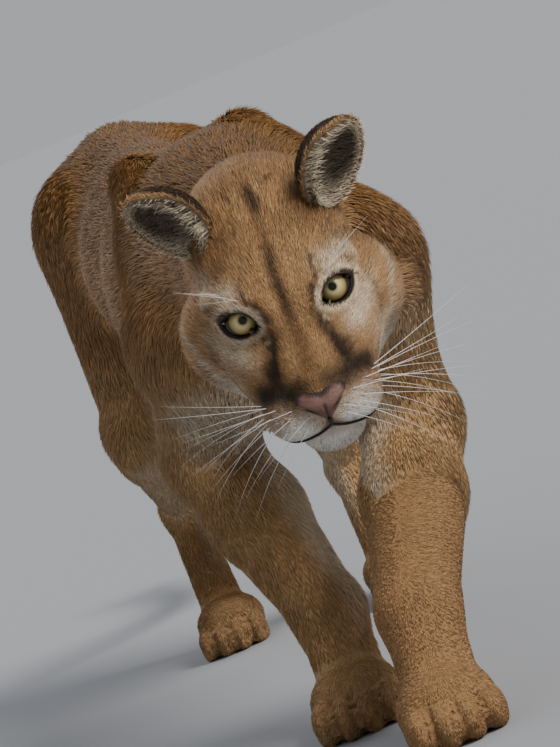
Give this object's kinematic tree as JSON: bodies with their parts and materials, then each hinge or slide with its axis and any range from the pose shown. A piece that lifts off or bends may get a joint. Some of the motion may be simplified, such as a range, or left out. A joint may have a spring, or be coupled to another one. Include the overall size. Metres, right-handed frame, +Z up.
{
  "type": "cougar",
  "caption": "Life-size cougar standing in a low stalking pose, head down with ears up, one forepaw ahead of the other and the long tail hanging in a J.",
  "frame": {"origin": "on the floor, under the middle of the animal's outline", "axes": "+Z up, the animal faces -Y, +X is its left side"},
  "size_m": [0.3664, 1.6714, 0.576],
  "materials": {
    "coat": "short matt tawny fur, paler below",
    "dark_coat": "matt brown-black fur",
    "eye": "wet gloss",
    "nose": "finely pebbled, half gloss"
  },
  "bodies": {
    "root": {"foreleg_upper_left": "coat", "foreleg_lower_left": "coat", "forepaw_left": "coat", "hindleg_upper_left": "coat", "hindleg_lower_left": "coat", "hindpaw_left": "coat", "foreleg_upper_right": "coat", "foreleg_lower_right": "coat", "forepaw_right": "coat", "hindleg_upper_right": "coat", "hindleg_lower_right": "coat", "hindpaw_right": "coat", "tail_root": "coat", "tail_upper": "coat", "tail_lower": "coat", "tail_tip": "dark_coat", "brisket": "coat", "torso": "coat", "hindquarters": "coat", "neck": "coat", "eye_left": "eye", "ear_left": "coat", "eye_right": "eye", "ear_right": "coat", "nose": "nose", "head": "coat"}
  },
  "joints": []
}
